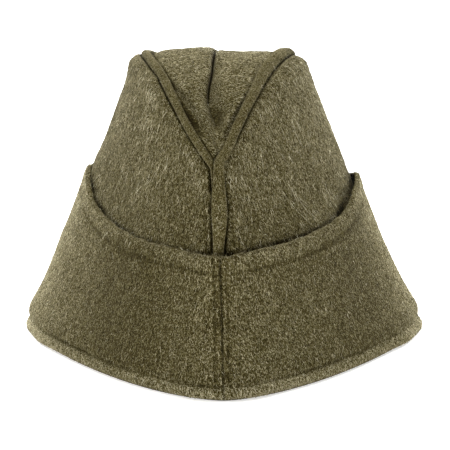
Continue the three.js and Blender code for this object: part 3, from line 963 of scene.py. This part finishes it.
def topShell(name):
    tip = whereHalfWidthIs(top["tipHalfWidth"], halves["left"])
    u = np.linspace(tip, 1 - tip, top["stations"])[:, None]
    inside = np.linspace(0, 1, top["columns"]) ** top["columnPower"]
    rim = np.linspace(1, 2, top["rimColumns"] + 1)[1:]
    reach = np.concatenate([inside, rim])[None, :]
    both = zip(topSheet(u, "left", reach), topSheet(u, "right", reach))
    outer, hollow, room = (np.concatenate([a[:, ::-1], b[:, 1:]], 1) for a, b in both)
    outer[..., 2] += waves(outer, top["waves"], 5)
    outer = settled(halves["right"], outer)
    beside = besideRolls(outer)
    isRight = np.arange(outer.shape[1])[None, :] >= reach.shape[1]
    soft, groove, lit = top["softEdge"], top["groove"], top["lit"]
    behind = smooth((u - soft["from"]) / soft["over"])
    sharp = np.where(isRight, 1 - (1 - soft["share"]) * behind, 1.0)
    # painted shade in the grooves beside the welts, softer behind the front on the right, and
    # painted light beside the left welt near the front
    sunk = sharp * bell(np.maximum(beside, 0), groove["width"])
    pale = bell(beside - lit["fromWelt"], lit["width"]) * near(u, lit)
    hollow = np.maximum(hollow - lit["by"] * pale * ~isRight, sunk)
    outer[..., 2] -= groove["depth"] * sunk
    n = unit(np.cross(np.gradient(outer, axis=1), np.gradient(outer, axis=0)))
    inner = (outer - n * top["wall"])[:, ::-3]
    rings = np.concatenate([outer, inner], 1)
    shell = ringPiece(name, rings, np.concatenate([hollow, 0 * inner[..., 0]], 1))
    return shell, outer, hollow, np.minimum(room, beside)


shell, *topSheets = topShell("crownTop_panel")
place(shell, topCloth, "crown_top")
print("top panel made")


def weltRoll(name, side):
    path = weltPaths[side]
    angle = 2 * math.pi * np.arange(welt["sides"]) / welt["sides"]
    width, thickness = path["width"][:, None], path["thickness"][:, None]
    rings = (
        path["centre"][:, None]
        + path["across"][:, None] * (np.cos(angle) * width / 2)[..., None]
        + path["out"][:, None] * (np.sin(angle) * thickness / 2)[..., None]
    )
    # painted shade on the roll's flanks and underside, and where it runs near the other roll
    hollow = welt["paler"] + smooth((welt["shadeFrom"] - np.sin(angle)) / welt["shadeFrom"])
    toSide = quarterTurn - np.abs(quarterTurn - angle)
    room = np.abs(toSide) * width / 2
    rings = settled(halves[side], rings)
    toOther = besideRolls(rings, ("right" if side == "left" else "left",))
    crossed = bell(toOther, welt["crossing"]) * (toOther > -welt["crossing"])
    hollow = np.maximum(hollow + 0 * width, crossed)
    return ringPiece(name, rings, hollow), rings, hollow, room


weltSheets = {}
for side in ("left", "right"):
    roll, *weltSheets[side] = weltRoll(f"weltRoll_{side}", side)
    place(roll, weltCloth, f"welt_{side}")
print("welts made")


# Stitches: short lengths of twisted wool thread, their ends drawn into the cloth.
stitch = {
    "length": 2.4,
    "radius": 0.24,
    "sides": 6,
    # along each stitch: place from -1 to 1, share of the radius, height over the cloth
    "profile": ((-1.0, 0.4, -0.7), (-0.75, 0.9, -0.25), (0.0, 1.0, -0.05), (0.75, 0.9, -0.25),
                (1.0, 0.4, -0.7)),
    "colours": ((0.3, "#2a2612"), (0.7, "#4b452c")),
    "twist": 0.5,
    "heart": (0.0, 0.0, 30.0),     # they face away from this point inside the cap
}


# Evenly spaced places along a line, with the way along it and the way out of the cloth.
def seats(line):
    length = lengthsAlong(line)
    at = np.arange(curtain["stitchPitch"], length[-1] - 1, curtain["stitchPitch"])
    centre = placesAlong(at, length, line)
    way = unit(placesAlong(at + 0.5, length, line) - centre)
    out = unit(centre - stitch["heart"])
    out = unit(out - way * (out * way).sum(-1)[:, None])
    return centre, way, out


def stitchPiece(name, lines):
    centre, way, out = (np.concatenate(parts) for parts in zip(*(seats(k) for k in lines)))
    across = np.cross(way, out)
    sides = stitch["sides"]
    angle = (2 * math.pi * np.arange(sides) / sides)[None, :, None]
    rings = []
    for share, size, height in stitch["profile"]:
        middle = centre + way * share * stitch["length"] / 2 + out * height
        around = across[:, None] * np.cos(angle) + out[:, None] * np.sin(angle)
        rings.append(middle[:, None] + size * stitch["radius"] * around)
    corners = np.stack(rings, 1).reshape(-1, 3)
    each = tubeFaces(len(rings), sides)
    firsts = range(0, len(corners), len(rings) * sides)
    return newPiece(name, corners, [[first + k for k in face] for first in firsts for face in each])


threadCloth, tree = newMaterial("twistedThread")
twist = addNode(tree, "TexNoise", {"Scale": 1 / (stitch["twist"] * mm), "Detail": 2.0})
wool(tree, stitch["colours"], twist)
for side in ("left", "right"):
    place(stitchPiece(f"stitches_{side}", curtainRows[side]), threadCloth)
print("stitches made")


# Nap: tufts of fibre ends, brushed mostly one way. Each is a thin closed spike sunk in the cloth,
# in a tone of its own, and as coarse as the tufts above. A few long ones lie over short ones.
nap = {
    "widthSpread": 0.35, "lengthSpread": 0.3,
    "thickness": 0.6,      # share of the width
    "sink": 0.12,
    "lift": 6.0, "liftSpread": 6.0,          # degrees from the cloth
    "edgeLift": 40.0,      # more on the curtain's folded edge
    "roll": 0.4,
    "room": 0.6,           # tufts end this far over a groove
    "stray": 0.05, "strayLift": 30.0,        # share that stands up
    "swirl": {"size": 3.5, "alike": 1.4, "alone": 0.7},   # near tufts turn much the same way
    "mottle": ((1.3, 0.1), (2.8, 0.2), (7.0, 0.12)),
    "mottleShare": {"crown": 1.1, "top": 2.0, "curtain": 0.9, "welt": 0.9},
    "clouds": {"crown": 0.2, "top": 0.05, "curtain": 0.0, "welt": 0.0},
    "cloudSize": 13.0,
    "toneShare": {"crown": 1.0, "top": 0.9, "curtain": 1.0, "welt": 0.85},
    "streakStrength": 1.6, "streakWidth": 0.8,
    # tufts are painted darker, and drawn shorter, where shade is painted
    "paintedShadeStep": 0.4, "hollowLength": 0.5,
    "floor": 0.12,         # no tuft goes below this height
    # tufts for each square mm, their size in mm, how far they turn in degrees, and the length
    # over which they keep a tone
    "short": {
        "crown": {"density": 1.5, "width": 0.23, "length": 1.7, "spread": 26, "streak": 4.0},
        "top": {"density": 1.8, "width": 0.25, "length": 1.4, "spread": 60, "streak": 1.6},
        "curtain": {"density": 1.5, "width": 0.23, "length": 1.3, "spread": 38, "streak": 2.2},
        "welt": {"density": 4.5, "width": 0.18, "length": 1.2, "spread": 45, "streak": 1.2},
    },
    "long": {
        "crown": {"density": 0.25, "width": 0.12, "length": 4.2, "spread": 16, "streak": 4.0},
        "top": {"density": 0.15, "width": 0.13, "length": 2.6, "spread": 40, "streak": 1.4},
        "curtain": {"density": 0.2, "width": 0.12, "length": 3.0, "spread": 26, "streak": 2.2},
        "welt": {"density": 0.1, "width": 0.12, "length": 2.2, "spread": 40, "streak": 1.2},
    },
    "tones": {
        "short": {"middle": 0.48, "spread": 0.2, "streak": 0.22},
        "long": {"middle": 0.75, "spread": 0.12, "streak": 0.1},
    },
}


# Even random spots on a sheet, each with the way out of the cloth, the shade painted on it and its
# room.
def scatter(sheet, hollow, room, heart, density, random, keep):
    a = sheet[1:, :-1] - sheet[:-1, :-1]
    b = sheet[:-1, 1:] - sheet[:-1, :-1]
    out = np.cross(a, b)
    area = np.linalg.norm(out, axis=-1) * keep[:-1, :-1]
    count = int(area.sum() * density)
    picked = random.choice(area.size, count, p=(area / area.sum()).ravel())
    i, j = np.unravel_index(picked, area.shape)
    s, t = random.random((2, count))[..., None]
    both = np.concatenate([sheet, hollow[..., None], room[..., None]], -1)
    low = mix(both[i, j], both[i + 1, j], s)
    spot = mix(low, mix(both[i, j + 1], both[i + 1, j + 1], s), t)
    out = unit(out[i, j])
    heart = np.broadcast_to(heart, sheet.shape)[i, j]
    out = out * np.sign(((spot[:, :3] - heart) * out).sum(-1))[:, None]
    stays = random.random(count) > spot[:, 3]
    return spot[stays, :3], out[stays], spot[stays, 3], spot[stays, 4]


# The corners of each tuft and its tone.
def tufts(spots, outs, hollow, room, kind, layer, flow, random, seed):
    style, tones, swirl = nap[layer][kind], nap["tones"][layer], nap["swirl"]
    count = len(spots)
    flow = np.broadcast_to(flow, spots.shape)
    lay = unit(flow - outs * (flow * outs).sum(-1)[:, None])
    side = np.cross(outs, lay)
    alone = swirl["alone"] * random.normal(0, 1, count)
    swirled = alone + swirl["alike"] * softNoise(spots, swirl["size"], seed)
    turn = np.radians(style["spread"] * swirled)[:, None]
    lay = lay * np.cos(turn) + side * np.sin(turn)
    lift = np.abs(random.normal(nap["lift"], nap["liftSpread"], count))
    if kind == "curtain":
        lift = lift + nap["edgeLift"] * np.clip(2 * outs[:, 2] - 1, 0, 1)
    stray = random.random(count) < nap["stray"]
    lift = np.radians(lift + stray * nap["strayLift"] * random.random(count))[:, None]
    way = lay * np.cos(lift) + outs * np.sin(lift)
    across = unit(np.cross(outs, way))
    roll = random.normal(0, nap["roll"], count)[:, None]
    across = across * np.cos(roll) + np.cross(way, across) * np.sin(roll)
    below = np.cross(across, way)
    below = -below * np.sign((below * outs).sum(-1))[:, None]
    width = style["width"] * np.exp(random.normal(0, nap["widthSpread"], count))
    width = (width * (1 - 0.5 * stray))[:, None]
    length = style["length"] * np.exp(random.normal(0, nap["lengthSpread"], count))
    length = np.minimum(length * (1 - nap["hollowLength"] * hollow), np.abs(room) + nap["room"])
    root = spots - outs * nap["sink"]
    aside = across * width / 2
    corners = [root + aside, root - aside, root + below * width * nap["thickness"]]
    corners = np.stack([*corners, root + way * length[:, None]], 1)
    corners[..., 2] = np.maximum(corners[..., 2], nap["floor"] + 0.02 * np.arange(4))
    streakSize = np.where(np.abs(flow) > 0.5, style["streak"], nap["streakWidth"])
    tone = tones["spread"] * random.normal(0, 1, count)
    streak = softNoise(spots / streakSize, 1.0, seed + 1)
    tone = tone + tones["streak"] * nap["streakStrength"] * streak
    mottle = nap["mottleShare"][kind] * waves(spots, nap["mottle"], seed + 2)
    mottle = mottle + nap["clouds"][kind] * softNoise(spots, nap["cloudSize"], seed + 4)
    # painted shade: a tuft's tone steps down where shade is painted
    tone = tones["middle"] + nap["toneShare"][kind] * tone + mottle - nap["paintedShadeStep"] * hollow
    return corners, np.clip(tone, 0, 1)


def napPiece(name, corners, tone):
    count = len(corners)
    a, b, c, d = corners[0]
    order = [(0, 1, 2), (0, 3, 1), (1, 3, 2), (2, 3, 0)]
    if np.dot(np.cross(b - a, c - a), d - a) > 0:
        order = [face[::-1] for face in order]
    first = 4 * np.arange(count)[:, None, None]
    faces = (first + np.array(order)[None]).reshape(-1, 3)
    piece = newPiece(name, corners, faces.tolist(), tone=np.repeat(tone, 4))
    # each tuft has one small cell of the map, so that its tone can be baked
    perRow = math.ceil(math.sqrt(count))
    cell = np.stack([np.arange(count) % perRow, np.arange(count) // perRow], -1)[:, None]
    inCell = np.array([(0.2, 0.2), (0.8, 0.2), (0.5, 0.35), (0.5, 0.8)])[None]
    places = ((cell + inCell) / perRow).reshape(-1, 2)
    bakeMap = piece.data.uv_layers.new(name="OFBake")
    bakeMap.data.foreach_set("uv", places[faces.ravel()].ravel())
    return piece


# A point inside the cap for each point of a sheet, to tell which way is out.
def heartOf(sheet):
    return sheet * (0.5, 0.6, 0) + (0, 0, 40)


def addNap(name, kind, sheet, hollow, room, heart, flow, seed, keep=True):
    random = np.random.default_rng(seed)
    keep = np.broadcast_to(keep, sheet.shape[:2])
    layers = []
    for layer in ("short", "long"):
        density = nap[layer][kind]["density"]
        found = scatter(sheet, hollow, room, heart, density, random, keep)
        layers.append(tufts(*found, kind, layer, flow, random, seed))
    corners, tone = (np.concatenate(parts) for parts in zip(*layers))
    place(napPiece(name, corners, tone), napWool)
    print(f"{name}: {len(corners)} tufts")


down = (0.0, 0.0, -1.0)
for side in ("left", "right"):
    seed = halves[side]["seed"]
    *crownSheet, above = crownSheets[side]
    heart = heartOf(crownSheet[0])
    shown = above > crown["napFrom"]
    addNap(f"napCrown_{side}", "crown", *crownSheet, heart, down, seed, shown)
    heart = heartOf(curtainSheets[side][0])
    addNap(f"napCurtain_{side}", "curtain", *curtainSheets[side], heart, down, seed + 1)
    upper = [part[:, : welt["sides"] // 2 + 1] for part in weltSheets[side]]
    middle = weltSheets[side][0].mean(1, keepdims=True)
    addNap(f"napWelt_{side}", "welt", *upper, middle, down, seed + 2)
addNap("napTop", "top", *topSheets, heartOf(topSheets[0]), (0.85, -0.5, 0.0), 31)
print("nap made")


# Camera at the photographed angle, 13 degrees above the floor.
camera = {
    "place": (0.0, -1.1254, 0.3207),
    "aim": (0.00036, 0.0, 0.0489),
    "lens": 204.6,
}

# Studio: a pale paper floor, a white surround and large soft lamps.
studio = {
    "floorHalf": 12.0,
    # matt paper on a lit table, which leaves no hard line of shadow under the hem
    "paper": {"Base Color": "#f2f1ee", "Roughness": 0.9, "Emission Color": "#ffffff",
              "Emission Strength": 0.65},
    "worldStrength": 0.05,
    "lampAim": (0, 0, 0.06),
    "lamps": {
        "key": {"place": (-1.6, -1.8, 1.6), "size": 1.1, "power": 30},
        "fill": {"place": (0.9, -2.3, 0.9), "size": 1.7, "power": 16},
        "top": {"place": (0.0, 0.3, 3.0), "size": 2.0, "power": 112},
        "back": {"place": (0.0, 1.5, 2.6), "size": 2.0, "power": 105},
        "sideLeft": {"place": (-1.4, 2.3, 0.9), "size": 1.0, "power": 190},
        "sideRight": {"place": (1.4, 2.3, 0.9), "size": 1.0, "power": 170},
    },
}


def aimed(name, data, place, aim):
    thing = bpy.data.objects.new(name, data)
    thing.location = place
    thing.rotation_euler = (Vector(aim) - thing.location).to_track_quat("-Z", "Y").to_euler()
    bpy.context.scene.collection.objects.link(thing)
    return thing


eye = aimed("camera", bpy.data.cameras.new("camera"), camera["place"], camera["aim"])
eye.data.sensor_width = 36
eye.data.lens = camera["lens"]
bpy.context.scene.camera = eye

half = studio["floorHalf"]
floorMesh = bpy.data.meshes.new("studioFloor")
corners = [(-half, -half, 0), (half, -half, 0), (half, half, 0), (-half, half, 0)]
floorMesh.from_pydata(corners, [], [(0, 1, 2, 3)])
floor = bpy.data.objects.new("studioFloor", floorMesh)
bpy.context.scene.collection.objects.link(floor)
paper, tree = newMaterial("paperSweep")
surface = addNode(tree, "BsdfPrincipled", studio["paper"])
addNode(tree, "OutputMaterial", {}, {"Surface": surface})
floorMesh.materials.append(paper)

world = bpy.data.worlds.new("studioWhite")
bpy.context.scene.world = world
world.use_nodes = True
surround = world.node_tree.nodes["Background"].inputs
surround["Color"].default_value = (1, 1, 1, 1)
surround["Strength"].default_value = studio["worldStrength"]
for name, lamp in studio["lamps"].items():
    light = bpy.data.lights.new(f"{name}Lamp", "AREA")
    light.size = lamp["size"]
    light.energy = lamp["power"]
    aimed(f"{name}Lamp", light, lamp["place"], studio["lampAim"])
bpy.context.scene.view_settings.view_transform = "Standard"
print("studio made")
